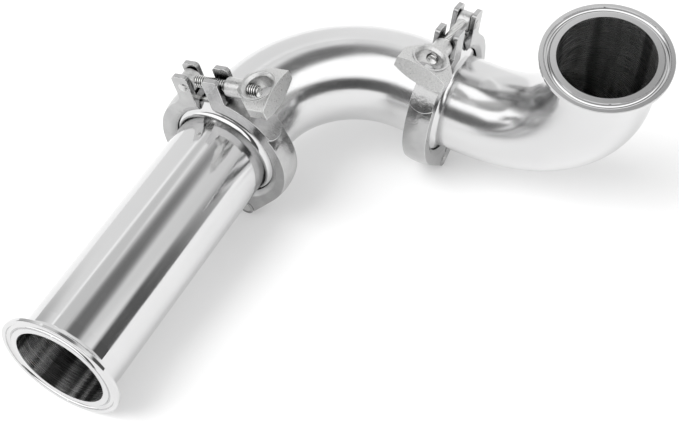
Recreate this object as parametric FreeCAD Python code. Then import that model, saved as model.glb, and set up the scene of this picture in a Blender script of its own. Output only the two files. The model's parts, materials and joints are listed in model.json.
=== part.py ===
import FreeCAD, Part
import math
import os

os.makedirs("parts", exist_ok=True)

# Sanitary pipe run: a straight spool, two 90 degree elbows and the two hinged clamps
# that hold their ferrules together. All sizes are in millimetres and degrees.

# Tube and ferrules, 2 inch size
tube_od = 50.8
tube_wall = 1.65
ferrule_od = 64.0
ferrule_length = 12.7
rim_width = 2.0
back_angle = 20.0
neck_fillet = 3.0
rim_edge_round = 0.4
groove_inset = 3.75
groove_section = 1.6

# Gaskets between the ferrules
face_gap = 2.0
bead_clearance = 0.1
gasket_bore_relief = 0.3

# Run of pipe
spool_length = 152.4
elbow_tangent = 19.05
bend_radius = 63.5
bend_angle = 90.0
outlet_lean = 7.7

# Clamp jaws
clamp_width = 13.0
ferrule_room = 1.0
band_thickness = 3.5
clamp_crown = 0.8
lip_room = 2.9
lip_flat = 0.3
lip_bevel = 3.0
jaw_clearance = 0.3
jaw_gap = 9.6
hinge_gap = 1.2
clamp_lean = {"clamp_1": 16.8, "clamp_2": 12.0}
jaw_opening = {"clamp_1": 0.0, "clamp_2": 1.4}

# Ears that carry the swing bolt, and the slotted lugs that it drops into
ear_width = 9.2
ear_slot = 7.6
ear_rise = 13.2
ear_corner = 2.0
ear_root_fillet = 3.0
ear_root_spread = 6.0
ear_root_drop = 0.9
pad_height = 0.9
pad_end_angle = 21.0
pad_nose_radius = 9.0

# Hinge at the bottom of the clamp
hinge_drop = 3.7
knuckle_radius = 4.5
tongue_width = 4.8
hinge_side_clearance = 0.3
knuckle_relief = 0.5

# Pins
hinge_pin_od = 5.0
pivot_pin_od = 4.5
pin_clearance = 0.05
pin_head_od = 5.8
pin_head_height = 0.9

# Swing bolt
bolt_od = 6.35
bolt_rise = 6.3
pivot_offset = 8.5
bolt_length = 42.4
eye_side_clearance = 0.3
eye_od = 10.4
bolt_tip_chamfer = 0.8

# Wing nut
nut_stand_off = 0.35
nut_thread_clearance = 0.05
hub_od = 10.0
hub_chamfer = 1.5
wing_overlap = 1.0
nut_length = 30.3
wing_length = 18.3
wing_span = 27.2
wing_end_height = 9.6
wing_middle_thickness = 11.0
wing_end_thickness = 5.6
window_od = 14.0
window_bevel = 1.4
window_end_wall = 2.4
window_side_wall = 2.2
wing_turn = {"clamp_1": 97.5, "clamp_2": 77.6}

# Values worked out from the sizes above
tube_r = tube_od / 2
bore_r = tube_r - tube_wall
ferrule_r = ferrule_od / 2
groove_radius = ferrule_r - groove_inset
centre_to_face = elbow_tangent + bend_radius * math.tan(math.radians(bend_angle / 2))
groove_depth_radius = ferrule_r + ferrule_room
clamp_radius = groove_depth_radius + band_thickness
lip_radius = tube_r + lip_room
ear_top = clamp_radius + ear_rise
ear_root_height = clamp_radius - ear_root_drop
bolt_height = clamp_radius + bolt_rise
half_width = clamp_width / 2
half_gap = jaw_gap / 2
slot_half = ear_slot / 2
ear_outer = half_gap + ear_width
hinge_y = -clamp_radius - hinge_drop
hub_length = nut_length - wing_length

Z_AXIS = FreeCAD.Vector(0, 0, 1)
ORIGIN = FreeCAD.Vector(0, 0, 0)


def corner_points(before, corner, after, radius):
    """Start, middle and end of the arc that rounds one corner of an outline."""
    back = (before - corner).normalize()
    ahead = (after - corner).normalize()
    half = back.getAngle(ahead) / 2
    run = radius / math.tan(half)
    inward = (back + ahead).normalize()
    middle = corner + inward * (radius / math.sin(half) - radius)
    return corner + back * run, middle, corner + ahead * run


def outline_face(corners, place):
    """Flat face inside corners given as (u, v, rounding radius)."""
    points = [place(corner[0], corner[1]) for corner in corners]
    spans = []
    for index, corner in enumerate(corners):
        before = points[index - 1]
        after = points[(index + 1) % len(points)]
        if corner[2] > 0:
            spans.append(corner_points(before, points[index], after, corner[2]))
        else:
            spans.append((points[index], None, points[index]))
    edges = []
    for index, (start, middle, end) in enumerate(spans):
        if middle is not None:
            edges.append(Part.Arc(start, middle, end).toShape())
        following = spans[(index + 1) % len(spans)][0]
        if end.distanceToPoint(following) > 1e-6:
            edges.append(Part.LineSegment(end, following).toShape())
    return Part.Face(Part.Wire(edges))


def turned(corners):
    """Solid turned about Z from an outline of (radius, height, rounding radius)."""
    face = outline_face(corners, lambda r, z: FreeCAD.Vector(r, 0, z))
    return face.revolve(ORIGIN, Z_AXIS, 360)


def plate(corners, low, high):
    """Solid with an outline of (x, y, rounding radius) between two heights along Z."""
    face = outline_face(corners, lambda x, y: FreeCAD.Vector(x, y, low))
    return face.extrude(FreeCAD.Vector(0, 0, high - low))


def rod(radius, low, high, x=0.0, y=0.0):
    """Round bar along Z between two heights."""
    return Part.makeCylinder(radius, high - low, FreeCAD.Vector(x, y, low), Z_AXIS)


def placed(shape, origin, x_dir, y_dir):
    """Copy of a shape moved to an origin, with its X and Y along two square directions."""
    z_dir = x_dir.cross(y_dir)
    matrix = FreeCAD.Matrix(
        x_dir.x, y_dir.x, z_dir.x, origin.x,
        x_dir.y, y_dir.y, z_dir.y, origin.y,
        x_dir.z, y_dir.z, z_dir.z, origin.z,
        0, 0, 0, 1)
    return shape.transformed(matrix, True)


def along(shape, origin, direction):
    """Copy of a shape made along Z, moved to an origin with its Z along a direction."""
    side = FreeCAD.Vector(1, 0, 0)
    if abs(direction.x) > 0.9:
        side = FreeCAD.Vector(0, 1, 0)
    x_dir = (side - direction * side.dot(direction)).normalize()
    return placed(shape, origin, x_dir, direction.cross(x_dir))


# Tubes, ferrules and gaskets

def ferrule(length):
    """Ferrule with its sealing face at height 0 and its tube end above."""
    cone_height = (ferrule_r - tube_r) * math.tan(math.radians(back_angle))
    body = turned([
        (bore_r, 0, 0),
        (ferrule_r, 0, rim_edge_round),
        (ferrule_r, rim_width, rim_edge_round),
        (tube_r, rim_width + cone_height, neck_fillet),
        (tube_r, length, 0),
        (bore_r, length, 0)])
    return body.cut(Part.makeTorus(groove_radius, groove_section))


def straight_tube():
    """Tube of the spool between its two ferrules, along Z."""
    length = spool_length - 2 * ferrule_length
    return rod(tube_r, 0, length).cut(rod(bore_r, 0, length))


def bent_bar(radius):
    """Round bar that starts along +Y at the origin and bends towards +X."""
    disc = Part.Face(Part.Wire(Part.Circle(ORIGIN, FreeCAD.Vector(0, 1, 0), radius).toShape()))
    return disc.revolve(FreeCAD.Vector(bend_radius, 0, 0), FreeCAD.Vector(0, 0, -1), bend_angle)


def bent_tube():
    """Bend of an elbow, from one ferrule's neck to the other's."""
    return bent_bar(tube_r).cut(bent_bar(bore_r))


def gasket():
    """Flat ring between two ferrules, with a round bead on each side for their grooves."""
    inner = bore_r + gasket_bore_relief
    outer = ferrule_r - rim_edge_round
    face = face_gap / 2
    bead = groove_section - bead_clearance
    half = [
        (inner, face, 0),
        (groove_radius - bead, face, 0),
        (groove_radius - bead, face + bead, bead),
        (groove_radius + bead, face + bead, bead),
        (groove_radius + bead, face, 0),
        (outer, face, 0)]
    other_half = [(radius, -height, rounding) for radius, height, rounding in reversed(half)]
    return turned(half + other_half)


# Clamp pieces, made with the pipe's axis along Z, the bolt along +X and the hinge at -Y

def wall_height(radius):
    """Half of the groove's width at a radius, where it follows the ferrules' backs."""
    slope = math.tan(math.radians(back_angle))
    lift = jaw_clearance / math.cos(math.radians(back_angle))
    return face_gap / 2 + rim_width + (ferrule_r - radius) * slope + lift


def jaw_ring():
    """Whole ring of the jaw's section, before it is cut into two jaws."""
    lip_height = wall_height(lip_radius) + lip_flat
    deep = wall_height(groove_depth_radius)
    upper = [
        FreeCAD.Vector(clamp_radius, 0, half_width),
        FreeCAD.Vector(lip_radius + lip_bevel, 0, half_width),
        FreeCAD.Vector(lip_radius, 0, lip_height),
        FreeCAD.Vector(lip_radius, 0, wall_height(lip_radius)),
        FreeCAD.Vector(groove_depth_radius, 0, deep)]
    lower = [FreeCAD.Vector(point.x, 0, -point.z) for point in reversed(upper)]
    sides = Part.makePolygon(upper + lower)
    crown = Part.Arc(lower[-1], FreeCAD.Vector(clamp_radius + clamp_crown, 0, 0), upper[0])
    section = Part.Face(Part.Wire(sides.Edges + [crown.toShape()]))
    return section.revolve(ORIGIN, Z_AXIS, 360)


def half_space(side):
    """Block that keeps one jaw's half of the ring, side is -1 or +1 along X."""
    reach = 2 * clamp_radius
    top = Part.makeBox(reach, reach, clamp_width, FreeCAD.Vector(half_gap, 0, -half_width))
    low = Part.makeBox(reach, reach, clamp_width,
                       FreeCAD.Vector(hinge_gap / 2, -reach, -half_width))
    block = top.fuse(low)
    if side < 0:
        block = block.mirror(ORIGIN, FreeCAD.Vector(1, 0, 0))
    return block


def ear_pair(side):
    """Two flat plates with a slot between them, standing on one jaw's end."""
    spread = ear_outer + ear_root_spread
    root = math.sqrt(clamp_radius ** 2 - spread ** 2)
    outline = [
        (side * half_gap, groove_depth_radius, 0),
        (side * half_gap, ear_top, ear_corner),
        (side * ear_outer, ear_top, ear_corner),
        (side * ear_outer, ear_root_height, ear_root_fillet),
        (side * spread, root - clamp_crown, 0),
        (side * spread, root - clamp_crown - band_thickness, 0)]
    near = plate(outline, slot_half, half_width)
    far = plate(outline, -half_width, -slot_half)
    return [near, far]


def groove_room():
    """Space inside the ring that nothing of a jaw may reach into."""
    return rod(groove_depth_radius, -clamp_width, clamp_width)


def web_outline(side):
    """Outline of the metal between ring and hinge, along the line that touches both."""
    down = (knuckle_radius - clamp_radius) / hinge_y
    out = math.sqrt(1 - down ** 2)
    ring_x = side * clamp_radius * out
    ring_y = -clamp_radius * down
    return [
        (0, hinge_y, 0),
        (side * knuckle_radius * out, hinge_y - knuckle_radius * down, 0),
        (ring_x, ring_y, 0),
        (ring_x / 2, ring_y / 2, 0)]


def knuckle(side, low, high):
    """Hinge knuckle with its web, between two heights."""
    return rod(knuckle_radius, low, high, 0, hinge_y).fuse(plate(web_outline(side), low, high))


def jaw(side, knuckle_spans, relief_spans, extras):
    """One cast jaw with its plates and knuckles, before its pin holes."""
    shoulder = plate(web_outline(side), -half_width, half_width)
    gap_side = plate([
        (side * hinge_gap / 2, 2 * hinge_y, 0),
        (side * clamp_radius, 2 * hinge_y, 0),
        (side * clamp_radius, 0, 0),
        (side * hinge_gap / 2, 0, 0)], -half_width, half_width)
    shoulder = shoulder.common(gap_side).cut(groove_room())
    body = jaw_ring().common(half_space(side)).fuse(shoulder)
    relief_r = knuckle_radius + knuckle_relief
    for low, high in relief_spans:
        body = body.cut(rod(relief_r, low, high, 0, hinge_y))
    added = [extra.cut(groove_room()) for extra in extras]
    for low, high in knuckle_spans:
        added.append(knuckle(side, low, high).cut(groove_room()))
    body = body.fuse(added)
    hole = rod(hinge_pin_od / 2 + pin_clearance, -clamp_width, clamp_width, 0, hinge_y)
    return body.cut(hole).removeSplitter()


def pivot_jaw():
    """Fixed jaw: a hinge fork below and the ears with the swing bolt's pin above."""
    inner = tongue_width / 2 + hinge_side_clearance
    fork = [(-half_width, -inner), (inner, half_width)]
    body = jaw(-1, fork, [(-inner, inner)], ear_pair(-1))
    hole_r = pivot_pin_od / 2 + pin_clearance
    hole = rod(hole_r, -clamp_width, clamp_width, -pivot_offset, bolt_height)
    return body.cut(hole)


def lug_pad():
    """Low raised pad on the outer band, from the lugs to a rounded end."""
    outer = clamp_radius + clamp_crown + pad_height
    inner = clamp_radius - pad_height
    ring = rod(outer, -half_width, half_width).cut(rod(inner, -half_width, half_width))
    nose_angle = math.degrees(pad_nose_radius / outer)
    start = math.radians(pad_end_angle + nose_angle)
    end = math.acos((half_gap + ear_width / 2) / outer)
    corners = [ORIGIN]
    for angle in (start, (start + end) / 2, end):
        corners.append(FreeCAD.Vector(math.cos(angle), math.sin(angle), 0) * outer * 1.5)
    sector = Part.Face(Part.makePolygon(corners + [ORIGIN]))
    sector = sector.extrude(FreeCAD.Vector(0, 0, clamp_width))
    sector.translate(FreeCAD.Vector(0, 0, -half_width))
    direction = FreeCAD.Vector(math.cos(start), math.sin(start), 0)
    nose = Part.makeCylinder(pad_nose_radius, outer * 1.5, ORIGIN, direction)
    return ring.common(sector.fuse(nose))


def slotted_jaw():
    """Moving jaw: a hinge tongue below, and above it two lugs with an open slot between."""
    tongue_half = tongue_width / 2
    sides = [(-clamp_width, -tongue_half), (tongue_half, clamp_width)]
    band = jaw(1, [(-tongue_half, tongue_half)], sides, [lug_pad()])
    lugs = [lug.cut(groove_room()).cut(band) for lug in ear_pair(1)]
    return Part.makeCompound([band] + lugs)


def headed_pin(diameter, half_length):
    """Straight pin along Z with a low domed head at each end."""
    seat = half_length + pin_clearance
    shank = rod(diameter / 2, -seat, seat)
    head_r = pin_head_od / 2
    sphere_r = (head_r ** 2 + pin_head_height ** 2) / (2 * pin_head_height)
    dome = Part.makeSphere(sphere_r, FreeCAD.Vector(0, 0, seat + pin_head_height - sphere_r))
    head = dome.common(rod(head_r, seat, seat + pin_head_height))
    other = head.mirror(ORIGIN, Z_AXIS)
    return shank.fuse([head, other]).removeSplitter()


def hinge_pin():
    """Pin of the clamp's hinge, riveted over both sides of the fork."""
    pin = headed_pin(hinge_pin_od, half_width)
    pin.translate(FreeCAD.Vector(0, hinge_y, 0))
    return pin


def pivot_pin():
    """Pin of the swing bolt, riveted over both ears."""
    pin = headed_pin(pivot_pin_od, half_width)
    pin.translate(FreeCAD.Vector(-pivot_offset, bolt_height, 0))
    return pin


def swing_bolt(name):
    """Eye bolt that swings between the ears, with its thread left as a plain bar."""
    eye_half = slot_half - eye_side_clearance
    centre = pivot_point(name)
    eye = rod(eye_od / 2, -eye_half, eye_half, centre.x, centre.y)
    radius = bolt_od / 2
    shank = turned([
        (0, 0, 0),
        (radius, 0, 0),
        (radius, bolt_length - bolt_tip_chamfer, 0),
        (radius - bolt_tip_chamfer, bolt_length, 0),
        (0, bolt_length, 0)])
    shank = along(shank, centre, FreeCAD.Vector(1, 0, 0))
    hole_r = pivot_pin_od / 2 + pin_clearance
    hole = rod(hole_r, -eye_od, eye_od, centre.x, centre.y)
    return eye.fuse(shank).cut(hole).removeSplitter()


def wing_block():
    """Flared wings of the nut: a side outline crossed with a thicker middle, along Z."""
    hub_r = hub_od / 2
    half_span = wing_span / 2
    wing_low = nut_length - wing_end_height
    side_view = Part.makePolygon([
        FreeCAD.Vector(-hub_r, 0, hub_length - wing_overlap),
        FreeCAD.Vector(hub_r, 0, hub_length - wing_overlap),
        FreeCAD.Vector(half_span, 0, wing_low),
        FreeCAD.Vector(half_span, 0, nut_length),
        FreeCAD.Vector(-half_span, 0, nut_length),
        FreeCAD.Vector(-half_span, 0, wing_low),
        FreeCAD.Vector(-hub_r, 0, hub_length - wing_overlap)])
    thick = wing_middle_thickness
    slab = Part.Face(side_view).extrude(FreeCAD.Vector(0, thick, 0))
    slab.translate(FreeCAD.Vector(0, -thick / 2, 0))
    end = wing_end_thickness / 2
    middle = wing_middle_thickness / 2
    near = Part.Arc(FreeCAD.Vector(-half_span, -end, 0), FreeCAD.Vector(0, -middle, 0),
                    FreeCAD.Vector(half_span, -end, 0)).toShape()
    far = Part.Arc(FreeCAD.Vector(half_span, end, 0), FreeCAD.Vector(0, middle, 0),
                   FreeCAD.Vector(-half_span, end, 0)).toShape()
    right = Part.LineSegment(FreeCAD.Vector(half_span, -end, 0),
                             FreeCAD.Vector(half_span, end, 0)).toShape()
    left = Part.LineSegment(FreeCAD.Vector(-half_span, end, 0),
                            FreeCAD.Vector(-half_span, -end, 0)).toShape()
    lens = Part.Face(Part.Wire([near, right, far, left]))
    return slab.common(lens.extrude(FreeCAD.Vector(0, 0, nut_length)))


def wing_nut():
    """Wing nut with its hub's end at height 0, its wings across X and a window along Y."""
    hub_r = hub_od / 2
    hub = turned([
        (0, 0, 0),
        (hub_r - hub_chamfer, 0, 0),
        (hub_r, hub_chamfer, 0),
        (hub_r, hub_length + wing_overlap, 0),
        (0, hub_length + wing_overlap, 0)])
    window_r = window_od / 2
    half = wing_middle_thickness / 2
    centre = FreeCAD.Vector(0, 0, nut_length - window_end_wall - window_r)
    eye = rod(window_r + window_side_wall, -half, half)
    window = rod(window_r, -window_od, window_od)
    wide = Part.makeCone(window_r, window_r + window_bevel, window_bevel,
                         FreeCAD.Vector(0, 0, half - window_bevel), Z_AXIS)
    window = window.fuse([wide, wide.mirror(ORIGIN, Z_AXIS)])
    eye = along(eye, centre, FreeCAD.Vector(0, 1, 0))
    window = along(window, centre, FreeCAD.Vector(0, 1, 0))
    bore = rod(bolt_od / 2 + nut_thread_clearance, -hub_chamfer, centre.z)
    return hub.fuse([wing_block(), eye]).cut(window).cut(bore).removeSplitter()


def opened(shape, name, side):
    """Copy of a jaw's piece turned about the hinge by as much as its clamp stands open."""
    copy = shape.copy()
    copy.rotate(FreeCAD.Vector(0, hinge_y, 0), Z_AXIS, -side * jaw_opening[name])
    return copy


def pivot_point(name):
    """Centre of the swing bolt's pin, with its jaw standing open."""
    angle = math.radians(jaw_opening[name])
    across = -pivot_offset
    up = bolt_height - hinge_y
    return FreeCAD.Vector(
        across * math.cos(angle) - up * math.sin(angle),
        across * math.sin(angle) + up * math.cos(angle) + hinge_y, 0)


def placed_nut(name):
    """Wing nut on its bolt, against the lugs, with its wings turned about the bolt."""
    turn = math.radians(wing_turn[name])
    angle = math.radians(jaw_opening[name])
    up = pivot_point(name).y + hub_od / 2 - hinge_y
    lug_face = ear_outer * math.cos(angle) + up * math.sin(angle)
    origin = FreeCAD.Vector(lug_face + nut_stand_off, pivot_point(name).y, 0)
    wings = FreeCAD.Vector(0, math.cos(turn), math.sin(turn))
    return placed(wing_nut(), origin, wings, FreeCAD.Vector(1, 0, 0).cross(wings))


# Assembly in the pipe's own frame: the spool along +Y from its open face at the origin

Y_DIR = FreeCAD.Vector(0, 1, 0)
X_DIR = FreeCAD.Vector(1, 0, 0)
lean = math.radians(outlet_lean)
outlet_dir = FreeCAD.Vector(0, -math.sin(lean), math.cos(lean))
first_face = FreeCAD.Vector(0, spool_length + face_gap, 0)
first_exit = first_face + Y_DIR * centre_to_face + X_DIR * centre_to_face
second_face = first_exit + X_DIR * face_gap
second_exit = second_face + X_DIR * centre_to_face + outlet_dir * centre_to_face
clamp_centre = {
    "clamp_1": Y_DIR * (spool_length + face_gap / 2),
    "clamp_2": first_exit + X_DIR * (face_gap / 2)}


def clamp_directions(name):
    """Directions of a clamp's bolt and of its top, in the pipe's frame."""
    angle = math.radians(clamp_lean[name])
    across = {"clamp_1": X_DIR, "clamp_2": -Y_DIR}[name]
    bolt_dir = across * math.cos(angle) + Z_AXIS * math.sin(angle)
    top_dir = Z_AXIS * math.cos(angle) - across * math.sin(angle)
    return bolt_dir, top_dir


def pipe_pieces():
    """Tubes, ferrules and gaskets."""
    bend = bent_tube()
    collar = ferrule(ferrule_length)
    elbow_collar = ferrule(elbow_tangent)
    ring = gasket()
    spool_start = Y_DIR * ferrule_length
    first_bend = first_face + Y_DIR * elbow_tangent
    second_bend = second_face + X_DIR * elbow_tangent
    return {
        "spool_tube": along(straight_tube(), spool_start, Y_DIR),
        "spool_open_ferrule": along(collar, ORIGIN, Y_DIR),
        "spool_inner_ferrule": along(collar, Y_DIR * spool_length, -Y_DIR),
        "elbow_1_tube": placed(bend, first_bend, X_DIR, Y_DIR),
        "elbow_1_first_ferrule": along(elbow_collar, first_face, Y_DIR),
        "elbow_1_second_ferrule": along(elbow_collar, first_exit, -X_DIR),
        "elbow_2_tube": placed(bend, second_bend, outlet_dir, X_DIR),
        "elbow_2_first_ferrule": along(elbow_collar, second_face, X_DIR),
        "elbow_2_open_ferrule": along(elbow_collar, second_exit, -outlet_dir),
        "gasket_1": along(ring, clamp_centre["clamp_1"], Y_DIR),
        "gasket_2": along(ring, clamp_centre["clamp_2"], X_DIR)}


def clamp_pieces(name):
    """One clamp's pieces, placed round its joint."""
    bolt_dir, top_dir = clamp_directions(name)
    pieces = {
        "pivot_jaw": opened(pivot_jaw(), name, -1),
        "slotted_jaw": opened(slotted_jaw(), name, 1),
        "hinge_pin": hinge_pin(),
        "pivot_pin": opened(pivot_pin(), name, -1),
        "swing_bolt": swing_bolt(name),
        "wing_nut": placed_nut(name)}
    return {
        name + "_" + piece: placed(shape, clamp_centre[name], bolt_dir, top_dir)
        for piece, shape in pieces.items()}


def lowest_point(centre, axis, radius, half_length, up):
    """Lowest point of a round disc or barrel, for a given upward direction."""
    down = up * -1
    flat = down - axis * down.dot(axis)
    end = axis * (half_length if axis.dot(down) > 0 else -half_length)
    return centre + flat.normalize() * radius + end


def resting_up():
    """Upward direction when the open ferrule and both clamps' hinges touch a flat table."""
    settling_steps = 30
    contacts = [(Y_DIR * (rim_width / 2), Y_DIR, ferrule_r, rim_width / 2 - rim_edge_round)]
    for name, axis in (("clamp_1", Y_DIR), ("clamp_2", X_DIR)):
        bolt_dir, top_dir = clamp_directions(name)
        hinge = clamp_centre[name] + top_dir * hinge_y
        contacts.append((hinge, axis, knuckle_radius, half_width))
    up = Z_AXIS
    for step in range(settling_steps):
        feet = [lowest_point(centre, axis, radius, half, up)
                for centre, axis, radius, half in contacts]
        up = (feet[2] - feet[0]).cross(feet[1] - feet[0]).normalize()
    return up


def resting_placement(pieces):
    """Placement that stands the run on z = 0, centred over the origin."""
    up = resting_up()
    y_dir = (Y_DIR - up * Y_DIR.dot(up)).normalize()
    x_dir = y_dir.cross(up)
    turn = FreeCAD.Matrix(
        x_dir.x, x_dir.y, x_dir.z, 0,
        y_dir.x, y_dir.y, y_dir.z, 0,
        up.x, up.y, up.z, 0,
        0, 0, 0, 1)
    box = FreeCAD.BoundBox()
    for shape in pieces.values():
        box.add(shape.transformed(turn, True).optimalBoundingBox(False, False))
    turn.move(FreeCAD.Vector(-box.Center.x, -box.Center.y, -box.ZMin))
    return turn


def build():
    """All pieces in their final place, with the placement that put them there."""
    pieces = pipe_pieces()
    for name in clamp_lean:
        pieces.update(clamp_pieces(name))
    rest = resting_placement(pieces)
    return {name: shape.transformed(rest, True) for name, shape in pieces.items()}, rest


placed_pieces, rest_matrix = build()
for node, solid in placed_pieces.items():
    solid.exportStep("parts/" + node + ".step")
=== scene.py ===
import bpy
import json
import math
from mathutils import Euler, Matrix, Vector
from mathutils.bvhtree import BVHTree


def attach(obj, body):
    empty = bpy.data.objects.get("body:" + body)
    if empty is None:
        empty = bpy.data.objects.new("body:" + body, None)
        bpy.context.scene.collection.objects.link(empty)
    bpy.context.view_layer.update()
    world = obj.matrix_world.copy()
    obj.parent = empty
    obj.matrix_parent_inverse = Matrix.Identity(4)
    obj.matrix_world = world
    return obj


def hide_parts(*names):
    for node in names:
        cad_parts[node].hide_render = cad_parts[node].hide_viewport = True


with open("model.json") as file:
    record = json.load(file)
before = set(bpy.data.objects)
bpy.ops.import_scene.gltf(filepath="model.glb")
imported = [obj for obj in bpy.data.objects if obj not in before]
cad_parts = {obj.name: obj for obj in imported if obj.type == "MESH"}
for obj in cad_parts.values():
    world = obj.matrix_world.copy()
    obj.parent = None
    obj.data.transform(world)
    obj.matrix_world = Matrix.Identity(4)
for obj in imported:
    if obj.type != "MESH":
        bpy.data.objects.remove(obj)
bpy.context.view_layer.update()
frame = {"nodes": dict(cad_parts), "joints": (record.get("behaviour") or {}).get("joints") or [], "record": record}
nodes = frame["nodes"]
joints = {joint["name"]: joint for joint in frame["joints"]}
mounts = {mount["name"]: mount for mount in frame["record"]["mounts"]}


# Shader nodes

SAMPLES = 8
NOISE_LOW = 0.3
NOISE_HIGH = 0.7


def rgba(colour):
    """Colour with its alpha, from a grey level or a triple. A socket stays as it is."""
    if isinstance(colour, (int, float)):
        colour = (colour, colour, colour)
    return colour + (1,) if isinstance(colour, tuple) else colour


class Tree:
    """Short calls for adding and joining shader nodes."""

    def __init__(self, owner):
        owner.use_nodes = True
        self.tree = owner.node_tree
        self.tree.nodes.clear()

    def add(self, kind, inputs=None, **settings):
        node = self.tree.nodes.new("ShaderNode" + kind)
        for name, value in settings.items():
            setattr(node, name, value)
        for name, value in (inputs or {}).items():
            self.put(node, name, value)
        return node

    def put(self, node, name, value):
        socket = node.inputs[name]
        if isinstance(value, bpy.types.NodeSocket):
            self.tree.links.new(value, socket)
        else:
            socket.default_value = value

    def show(self, shader, kind):
        """Join a shader to a new output node."""
        self.tree.links.new(shader.outputs[0], self.add(kind).inputs[0])

    def math(self, operation, *values):
        return self.add("Math", dict(enumerate(values)), operation=operation).outputs[0]

    def dot(self, first, second):
        node = self.add("VectorMath", {0: first, 1: second}, operation="DOT_PRODUCT")
        return node.outputs["Value"]

    def step(self, value, low, high, out_low=0.0, out_high=1.0):
        """Smooth change from one value to another while the input goes from low to high."""
        node = self.add("MapRange", {0: value, 1: low, 2: high, 3: out_low, 4: out_high},
                        interpolation_type="SMOOTHSTEP")
        return node.outputs[0]

    def mix(self, factor, low, high):
        node = self.add("Mix", {0: factor, 2: low, 3: high}, data_type="FLOAT")
        return node.outputs[0]

    def colours(self, factor, low, high):
        """Blend of two colours, each a socket, a grey level or a triple."""
        node = self.add("Mix", {0: factor, 6: rgba(low), 7: rgba(high)}, data_type="RGBA")
        return node.outputs[2]

    def ramp(self, share, stops):
        """Soft brightness by compass direction, from stops of (degrees, brightness)."""
        node = self.add("ValToRGB", {0: share})
        node.color_ramp.interpolation = "EASE"
        elements = node.color_ramp.elements
        elements.remove(elements[-1])
        for index, (angle, value) in enumerate(stops):
            element = elements[0] if index == 0 else elements.new(angle / 360)
            element.position = angle / 360
            element.color = rgba(value)
        return node.outputs["Color"]


class Finish(Tree):
    """Material with one main shader, patterned in the object's own coordinates."""

    edge_radius = 0.0005
    edge_turn = (0.82, 0.985)
    # Colour of the painted shade in crevices.
    crevice_shade = 0.07

    def __init__(self, name, metallic=1.0):
        self.material = bpy.data.materials.new(name)
        super().__init__(self.material)
        self.shader = self.add("BsdfPrincipled", {"Metallic": metallic})
        self.show(self.shader, "OutputMaterial")
        self.place = self.add("TexCoord").outputs["Object"]

    def set(self, name, value):
        self.put(self.shader, name, value)

    def roughness(self, noise, low, high):
        """Roughness that follows a noise between two limits."""
        self.set("Roughness", self.step(noise, NOISE_LOW, NOISE_HIGH, low, high))

    def noise(self, scale, detail=2.0, roughness=0.5, place=None):
        node = self.add("TexNoise", {"Vector": self.place if place is None else place,
                                     "Scale": scale, "Detail": detail, "Roughness": roughness})
        return node.outputs["Fac"]

    def stretched(self, axis, across, along):
        """Coordinates scaled by one number across an axis and by another along it."""
        turn = Vector(axis).to_track_quat("Z", "Y").to_euler()
        node = self.add("Mapping", {"Vector": self.place, "Rotation": turn,
                                    "Scale": (1 / across, 1 / across, 1 / along)},
                        vector_type="TEXTURE")
        return node.outputs[0]

    def bump(self, height, distance, strength, normal=None):
        node = self.add("Bump", {"Height": height, "Distance": distance, "Strength": strength})
        if normal is not None:
            self.put(node, "Normal", normal)
        return node.outputs[0]

    def rounded(self):
        """Normal that rounds the edges off."""
        return self.add("Bevel", {"Radius": self.edge_radius}, samples=SAMPLES).outputs[0]

    def edge_highlighted(self, rounded, face, bright):
        """Face colour with a painted highlight along the edges, where a rounded normal turns away from the face.
        """
        facing = self.dot(rounded, self.add("NewGeometry").outputs["Normal"])
        return self.colours(self.step(facing, *self.edge_turn, 1.0, 0.0), face, bright)

    def shade_crevices(self, face, reach, dark, light):
        """Face colour darkened towards a painted shade colour in the crevices narrower than a reach, by ambient
        occlusion.
        """
        node = self.add("AmbientOcclusion", {"Distance": reach}, samples=SAMPLES)
        return self.colours(self.step(node.outputs["AO"], dark, light), self.crevice_shade, face)


# Swing bolt sizes, in metres

BOLT_LENGTH = 0.0424
THREAD_PITCH = 0.00127
THREAD_TOP = 0.00317
THREAD_ROOT = 0.00262
THREAD_CREST = 0.12
THREAD_FLANK = 0.7
TIP_INSET = 0.0003
SHANK_STEPS = 260
SHANK_SIDES = 40
EYE_RADIUS = 0.0052
EYE_HOLE = 0.0023
EYE_HALF = 0.0035
EYE_ROUND = 0.0009
EYE_CORNER_STEPS = 5
EYE_SIDES = 48
SHANK_START = EYE_RADIUS * 0.75


# Materials

FAN_DISTANCE = 0.1
GROOVE_ROUGHNESS = 0.03
THREAD_MARGIN = 0.0001
TIP_MARGIN = 0.0002


def polished_tube(name, axis, roughness):
    """Polished stainless tube with a drawn grain, cloudy wipe marks and soft waviness."""
    look = Finish(name)
    cloud = look.noise(22.0, detail=3.0)
    look.set("Base Color", look.colours(cloud, (0.67, 0.67, 0.675), 0.73))
    grain = look.noise(1.0, detail=3.0, place=look.stretched(axis, across=1400, along=30))
    smear = look.noise(60.0, detail=4.0, roughness=0.6)
    blend = look.math("MULTIPLY", grain, smear)
    look.set("Roughness", look.step(blend, 0.1, 0.5, roughness, roughness * 1.6))
    wave = look.bump(look.noise(35.0, detail=1.0), distance=0.0001, strength=0.35)
    look.set("Normal", look.bump(grain, distance=0.000015, strength=0.5, normal=wave))
    return look.material


def brushed_bore(name, axis, dull, bright, marks):
    """Inside of a tube, honed round the bore, which draws its reflections along the tube, with light and dark
    streaks painted along it as reflections.
    """
    look = Finish(name)
    look.set("Tangent", look.add("CombineXYZ", dict(enumerate(axis))).outputs[0])
    look.set("Anisotropic", 0.9)
    rings = look.noise(1.0, detail=3.0, roughness=0.6,
                       place=look.stretched(axis, across=60, along=2500))
    # Light and dark streaks along the tube, painted reflections in the base colour.
    painted_streaks = look.noise(1.0, detail=1.0, place=look.stretched(axis, across=110, along=3))
    look.set("Base Color", look.colours(look.step(painted_streaks, 0.4, 0.6), dull, bright))
    look.roughness(rings, 0.2, 0.3)
    look.set("Normal", look.bump(rings, distance=0.00002, strength=marks))
    return look.material


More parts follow.
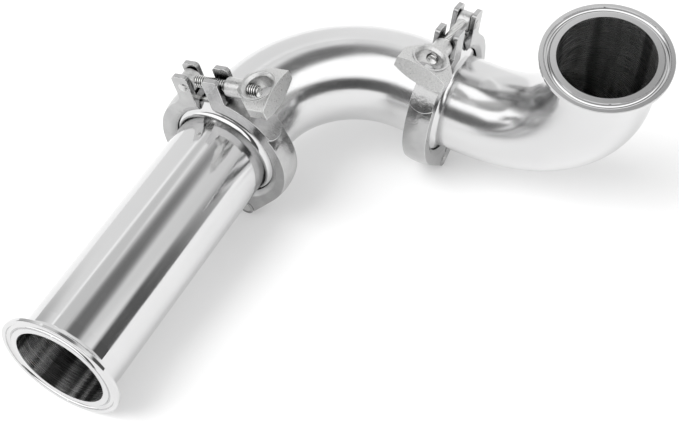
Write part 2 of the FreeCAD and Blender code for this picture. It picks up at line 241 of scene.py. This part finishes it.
def turned_ferrule(name, centre, axis, roughness):
    """Ferrule whose face has turning marks that draw its highlights into a fan."""
    look = Finish(name)
    apex = centre - axis * FAN_DISTANCE
    outward = look.add("VectorMath", {0: look.place, 1: apex}, operation="SUBTRACT")
    look.set("Tangent", outward.outputs[0])
    facing = look.dot(look.add("NewGeometry").outputs["Normal"], axis)
    flat = look.step(look.math("ABSOLUTE", facing), 0.97, 0.995)
    look.set("Anisotropic", look.math("MULTIPLY", flat, 0.5))
    cloud = look.noise(30.0, detail=3.0)
    look.set("Base Color", look.colours(cloud, (0.66, 0.66, 0.665), 0.74))
    fine = look.noise(1500.0)
    turned = look.step(fine, NOISE_LOW, NOISE_HIGH, roughness, roughness * 1.5)
    look.set("Roughness", look.mix(flat, GROOVE_ROUGHNESS, turned))
    look.set("Normal", look.bump(fine, distance=0.00001, strength=0.2))
    return look.material


def cast_clamp(name):
    """Tumbled and polished casting: soft dimples, with painted shade in the hollows and painted highlights on the
    rounded edges.
    """
    look = Finish(name)
    cloud = look.noise(90.0, detail=4.0, roughness=0.6)
    rounded = look.rounded()
    face = look.colours(cloud, (0.34, 0.34, 0.345), (0.64, 0.64, 0.635))
    edge_highlighted = look.edge_highlighted(rounded, face, bright=0.92)
    look.set("Base Color", look.shade_crevices(edge_highlighted, reach=0.006, dark=0.3, light=0.85))
    look.roughness(cloud, 0.15, 0.27)
    dimples = look.noise(420.0, detail=3.0, roughness=0.55)
    soft = look.bump(dimples, distance=0.0003, strength=0.4, normal=rounded)
    grain = look.noise(2600.0)
    look.set("Normal", look.bump(grain, distance=0.00004, strength=0.4, normal=soft))
    return look.material


def rough_casting(name):
    """As-cast surface: sandy, with a pebbled grain, painted highlights on the edges and painted shade in the
    hollows.
    """
    look = Finish(name)
    sand = look.noise(1300.0, detail=4.0, roughness=0.7)
    rounded = look.rounded()
    face = look.colours(sand, 0.4, (0.88, 0.88, 0.87))
    edge_highlighted = look.edge_highlighted(rounded, face, bright=0.95)
    look.set("Base Color", look.shade_crevices(edge_highlighted, reach=0.0045, dark=0.3, light=0.8))
    look.roughness(sand, 0.26, 0.42)
    pits = look.noise(700.0, detail=3.0, roughness=0.6)
    coarse = look.bump(pits, distance=0.0004, strength=0.5, normal=rounded)
    look.set("Normal", look.bump(sand, distance=0.00015, strength=0.6, normal=coarse))
    return look.material


def machined(name):
    """Machined hardware, slightly dull, with painted shade in its crevices."""
    look = Finish(name)
    cloud = look.noise(500.0, detail=3.0)
    face = look.colours(cloud, 0.5, (0.75, 0.75, 0.74))
    look.set("Base Color", look.shade_crevices(face, reach=0.0012, dark=0.45, light=0.85))
    look.roughness(cloud, 0.18, 0.32)
    look.set("Normal", look.bump(cloud, distance=0.0001, strength=0.35))
    return look.material


def cut_thread(name):
    """Thread along its object's Z, with painted highlights on the crests, painted shade in the roots and a
    brighter tip.
    """
    look = Finish(name)
    axes = look.add("SeparateXYZ", {0: look.place}).outputs
    across = look.add("CombineXYZ", {0: axes[0], 1: axes[1]}).outputs[0]
    radius = look.add("VectorMath", {0: across}, operation="LENGTH").outputs["Value"]
    crest = look.step(radius, THREAD_ROOT + THREAD_MARGIN, THREAD_TOP - THREAD_MARGIN)
    tip = look.step(axes[2], BOLT_LENGTH - 2 * TIP_MARGIN, BOLT_LENGTH - TIP_MARGIN)
    # Crests get a painted highlight and the tip is brighter; the roots get painted shade.
    bright = look.math("MAXIMUM", crest, tip)
    look.set("Base Color", look.colours(bright, 0.06, (0.85, 0.85, 0.84)))
    wear = look.noise(900.0, detail=3.0)
    look.roughness(wear, 0.16, 0.3)
    look.set("Normal", look.bump(wear, distance=0.00004, strength=0.4))
    return look.material


def seal_rubber(name):
    """White food-grade rubber."""
    look = Finish(name, metallic=0.0)
    cloud = look.noise(200.0, detail=3.0)
    look.set("Base Color", look.colours(cloud, (0.78, 0.78, 0.76), (0.86, 0.86, 0.84)))
    look.roughness(cloud, 0.5, 0.65)
    return look.material


inlet_axis = -Vector(mounts["inlet_bore"]["axis"])
outlet_axis = Vector(mounts["outlet_bore"]["axis"])
inlet_face = Vector(mounts["inlet_bore"]["pos_m"])
outlet_face = Vector(mounts["outlet_bore"]["pos_m"])
finishes = {
    "spool": polished_tube("steel_spool", inlet_axis, 0.09),
    "elbow": polished_tube("steel_elbow", (1, 1, 0), 0.15),
    "spool_bore": brushed_bore("steel_spool_bore", inlet_axis, 0.1, 1.0, marks=0.25),
    "elbow_bore": brushed_bore("steel_elbow_bore", outlet_axis, 0.35, 0.85, marks=0.05),
    "inlet_ferrule": turned_ferrule("steel_inlet_ferrule", inlet_face, inlet_axis, 0.08),
    "outlet_ferrule": turned_ferrule("steel_outlet_ferrule", outlet_face, outlet_axis, 0.08),
    "jaw": cast_clamp("steel_jaw"),
    "nut": rough_casting("steel_wing_nut"),
    "hardware": machined("steel_hardware"),
    "thread": cut_thread("steel_thread"),
    "seal": seal_rubber("seal_rubber"),
}
finish_by_word = (
    ("gasket", "seal"),
    ("elbow_2_open_ferrule", "outlet_ferrule"),
    ("spool_open_ferrule", "inlet_ferrule"),
    ("elbow", "elbow"),
    ("spool", "spool"),
    ("jaw", "jaw"),
    ("nut", "nut"),
    ("", "hardware"),
)


# CAD nodes

BORE_REACH = (0.04, 0.05)
RAY_LIMIT = 0.08
RAY_START = 0.00001


def mark_bore(mesh, finish):
    """Give the bore's finish to the faces that see their own mesh straight across the pipe."""
    mesh.materials.append(finish)
    tree = BVHTree.FromPolygons([vertex.co for vertex in mesh.vertices],
                                [polygon.vertices for polygon in mesh.polygons])
    for polygon in mesh.polygons:
        start = polygon.center + polygon.normal * RAY_START
        reach = tree.ray_cast(start, polygon.normal, RAY_LIMIT)[3]
        if reach and BORE_REACH[0] < reach < BORE_REACH[1]:
            polygon.material_index = 1


for name, node in nodes.items():
    finish = next(finish for word, finish in finish_by_word if word in name)
    node.data.materials.clear()
    node.data.materials.append(finishes[finish])
    if "tube" in name or "ferrule" in name:
        mark_bore(node.data, finishes["spool_bore" if "spool" in name else "elbow_bore"])


# Swing bolts with a cut thread and a rounded eye

def circle(sides):
    """Cosine and sine of each corner of a regular polygon."""
    angles = [2 * math.pi * index / sides for index in range(sides)]
    return [(math.cos(angle), math.sin(angle)) for angle in angles]


def ring_mesh(name, rows, closed_ends):
    """Mesh from rows of points, each row a closed ring."""
    count = len(rows[0])
    points = [point for row in rows for point in row]
    faces = []
    for row in range(len(rows) - 1):
        for index in range(count):
            after = (index + 1) % count
            faces.append((row * count + index, row * count + after,
                          (row + 1) * count + after, (row + 1) * count + index))
    if closed_ends:
        faces.append(tuple(reversed(range(count))))
        faces.append(tuple((len(rows) - 1) * count + index for index in range(count)))
    mesh = bpy.data.meshes.new(name)
    mesh.from_pydata(points, [], faces)
    mesh.validate()
    for polygon in mesh.polygons:
        polygon.use_smooth = True
    return mesh


def thread_radius(along, turn):
    """Radius of the threaded bar at a distance along it and a share of a turn."""
    phase = (along / THREAD_PITCH - turn) % 1.0
    from_crest = min(phase, 1 - phase) * 2
    depth = min(1.0, max(0.0, (from_crest - THREAD_CREST) / THREAD_FLANK))
    radius = THREAD_TOP - (THREAD_TOP - THREAD_ROOT) * depth
    tip = THREAD_ROOT - TIP_INSET + (BOLT_LENGTH - along)
    return min(radius, tip)


def bolt_shank():
    """Threaded bar along Z from inside the eye to the tip."""
    rows = []
    for step in range(SHANK_STEPS + 1):
        along = SHANK_START + (BOLT_LENGTH - SHANK_START) * step / SHANK_STEPS
        row = []
        for index, (cosine, sine) in enumerate(circle(SHANK_SIDES)):
            radius = thread_radius(along, index / SHANK_SIDES)
            row.append((radius * cosine, radius * sine, along))
        rows.append(row)
    return ring_mesh("bolt_shank", rows, True)


def bolt_eye():
    """Rounded eye about the Y axis, with its hole."""
    profile = [(EYE_HOLE, -EYE_HALF)]
    for side, first in ((-1, -90), (1, 0)):
        for index in range(EYE_CORNER_STEPS + 1):
            angle = math.radians(first + 90 * index / EYE_CORNER_STEPS)
            profile.append((EYE_RADIUS - EYE_ROUND + EYE_ROUND * math.cos(angle),
                            side * (EYE_HALF - EYE_ROUND) + EYE_ROUND * math.sin(angle)))
    profile += [(EYE_HOLE, EYE_HALF), (EYE_HOLE, -EYE_HALF)]
    rows = [[(radius * cosine, height, radius * sine) for cosine, sine in circle(EYE_SIDES)]
            for radius, height in profile]
    return ring_mesh("bolt_eye", rows, False)


def add_object(name, data):
    """New object in the scene from its data."""
    piece = bpy.data.objects.new(name, data)
    bpy.context.scene.collection.objects.link(piece)
    return piece


def place_bolt(clamp):
    """Swing bolt of one clamp, in place of its CAD node."""
    hinge = joints[clamp + "_bolt_swing"]
    along = Vector(joints[clamp + "_nut_travel"]["axis"]).normalized()
    across = Vector(hinge["axis"]).normalized()
    side = across.cross(along)
    matrix = Matrix((side, across, along)).transposed().to_4x4()
    matrix.translation = Vector(hinge["pos_m"])
    for part, mesh, finish in (("shank", bolt_shank(), "thread"), ("eye", bolt_eye(), "nut")):
        mesh.materials.append(finishes[finish])
        piece = add_object(clamp + "_bolt_" + part, mesh)
        piece.matrix_world = matrix
        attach(piece, clamp + "_bolt")
        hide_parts(clamp + "_swing_bolt")


place_bolt("clamp_1")
place_bolt("clamp_2")


# Floor

FLOOR_REACH = 6.0
FLOOR_DROP = 0.0002
FLOOR_GREY = 0.62
LIFT_SEEN = 0.3
LIFT_MIRRORED = 0.25


def add_floor():
    """White studio floor that keeps the shadow and looks white to the camera."""
    mesh = bpy.data.meshes.new("floor")
    corners = [(-FLOOR_REACH, -FLOOR_REACH, 0), (FLOOR_REACH, -FLOOR_REACH, 0),
               (FLOOR_REACH, FLOOR_REACH, 0), (-FLOOR_REACH, FLOOR_REACH, 0)]
    mesh.from_pydata(corners, [], [(0, 1, 2, 3)])
    material = bpy.data.materials.new("floor_white")
    tree = Tree(material)
    diffuse = tree.add("BsdfDiffuse", {"Color": rgba(FLOOR_GREY)})
    path = tree.add("LightPath").outputs
    mirrored = tree.math("MULTIPLY", path["Is Glossy Ray"], LIFT_MIRRORED)
    strength = tree.mix(path["Is Camera Ray"], mirrored, LIFT_SEEN)
    lift = tree.add("Emission", {"Strength": strength})
    both = tree.add("AddShader", {0: diffuse.outputs[0], 1: lift.outputs[0]})
    tree.show(both, "OutputMaterial")
    mesh.materials.append(material)
    piece = add_object("floor", mesh)
    piece.location.z = -FLOOR_DROP


add_floor()


# World: a white light tent with a dark gap above the horizon, one at the left and one overhead.
# Its brightness is given by compass direction, in degrees from +Y towards +X.

WALL_LOW = (
    (0, 1.0), (45, 0.9), (57, 0.7), (64, 0.11), (145, 0.09), (212, 0.16), (228, 0.25),
    (240, 0.9), (250, 1.3), (260, 0.5), (267, 0.15), (283, 0.13), (290, 0.45), (296, 0.95),
    (325, 0.95), (336, 1.04), (354, 1.0))
WALL_HIGH = (
    (0, 1.0), (45, 0.85), (58, 0.8), (66, 1.0), (75, 1.5), (215, 1.5), (250, 1.5),
    (260, 0.5), (267, 0.15), (283, 0.13), (290, 0.45), (296, 0.95), (325, 0.95),
    (336, 1.04), (354, 1.0))
DIVIDE = ((0, 0.285), (198, 0.285), (221, 0.155), (240, 0.0), (330, 0.0))
DIVIDE_UNIT = 100.0
DIVIDE_BLUR = 5.0
PANEL = ((0, 0.0), (292, 0.0), (300, 1.0), (326, 1.0), (338, 0.0))
SEAM_BELOW = (42.5, 46.5)
SEAM_ABOVE = (47.0, 51.0)
SEAM_GAIN = 0.3
PANEL_LOSS = 0.22
OVERHEAD = Vector((0.149, 0.212, 0.966))
OVERHEAD_EDGE = (0.912, 0.988)
OVERHEAD_LIGHT = 0.2


def add_tent():
    """World light by direction, plain white where the camera sees it."""
    world = bpy.data.worlds.new("light_tent")
    bpy.context.scene.world = world
    tree = Tree(world)
    direction = tree.add("TexCoord").outputs["Generated"]
    axes = tree.add("SeparateXYZ", {0: direction}).outputs
    height = tree.math("DEGREES", tree.math("ARCSINE", axes[2]))
    turn = tree.math("DIVIDE", tree.math("ARCTAN2", axes[0], axes[1]), 2 * math.pi)
    turn = tree.math("FLOORED_MODULO", turn, 1.0)

    # The wall, darker below a divide whose height changes with the direction
    divide = tree.math("MULTIPLY", tree.ramp(turn, DIVIDE), DIVIDE_UNIT)
    above = tree.step(tree.math("SUBTRACT", height, divide), -DIVIDE_BLUR, DIVIDE_BLUR)
    wall = tree.mix(above, tree.ramp(turn, WALL_LOW), tree.ramp(turn, WALL_HIGH))

    # A panel at the left with a bright seam, dimmer above it
    upper = tree.step(height, *SEAM_ABOVE)
    seam = tree.math("SUBTRACT", tree.step(height, *SEAM_BELOW), upper)
    change = tree.math("SUBTRACT", tree.math("MULTIPLY", seam, SEAM_GAIN),
                       tree.math("MULTIPLY", upper, PANEL_LOSS))
    change = tree.math("MULTIPLY", tree.ramp(turn, PANEL), change)
    wall = tree.math("MULTIPLY_ADD", wall, change, wall)

    overhead = tree.step(tree.dot(direction, OVERHEAD), *OVERHEAD_EDGE)
    light = tree.mix(overhead, wall, OVERHEAD_LIGHT)
    seen = tree.add("LightPath").outputs["Is Camera Ray"]
    background = tree.add("Background", {"Color": rgba(1.0), "Strength": tree.mix(seen, light, 1.0)})
    tree.show(background, "OutputWorld")


add_tent()


# Sun

SUN_STRENGTH = 2.3
SUN_SPREAD = 42
SUN_FROM = Vector((-0.32, -0.52, 0.79))


def add_sun():
    """Broad light from above the front left that gives the shadow its side."""
    data = bpy.data.lights.new("soft_sun", "SUN")
    data.energy = SUN_STRENGTH
    data.angle = math.radians(SUN_SPREAD)
    lamp = add_object("soft_sun", data)
    lamp.rotation_euler = SUN_FROM.to_track_quat("Z", "Y").to_euler()
    lamp.visible_glossy = False


add_sun()


# Camera at the photograph's viewpoint

CAMERA_PLACE = (0.2325984, -0.4305025, 0.5633384)
CAMERA_TURN = (43.58165, 1.09772, 28.24463)
CAMERA_LENS = 76.967
CAMERA_SENSOR = 36.0
CAMERA_CLIP = (0.01, 50.0)

camera_data = bpy.data.cameras.new("camera")
camera_data.sensor_width = CAMERA_SENSOR
camera_data.lens = CAMERA_LENS
camera_data.clip_start, camera_data.clip_end = CAMERA_CLIP
camera = add_object("camera", camera_data)
camera.location = CAMERA_PLACE
camera.rotation_euler = Euler([math.radians(angle) for angle in CAMERA_TURN])
bpy.context.scene.camera = camera
bpy.context.scene.view_settings.view_transform = "Standard"
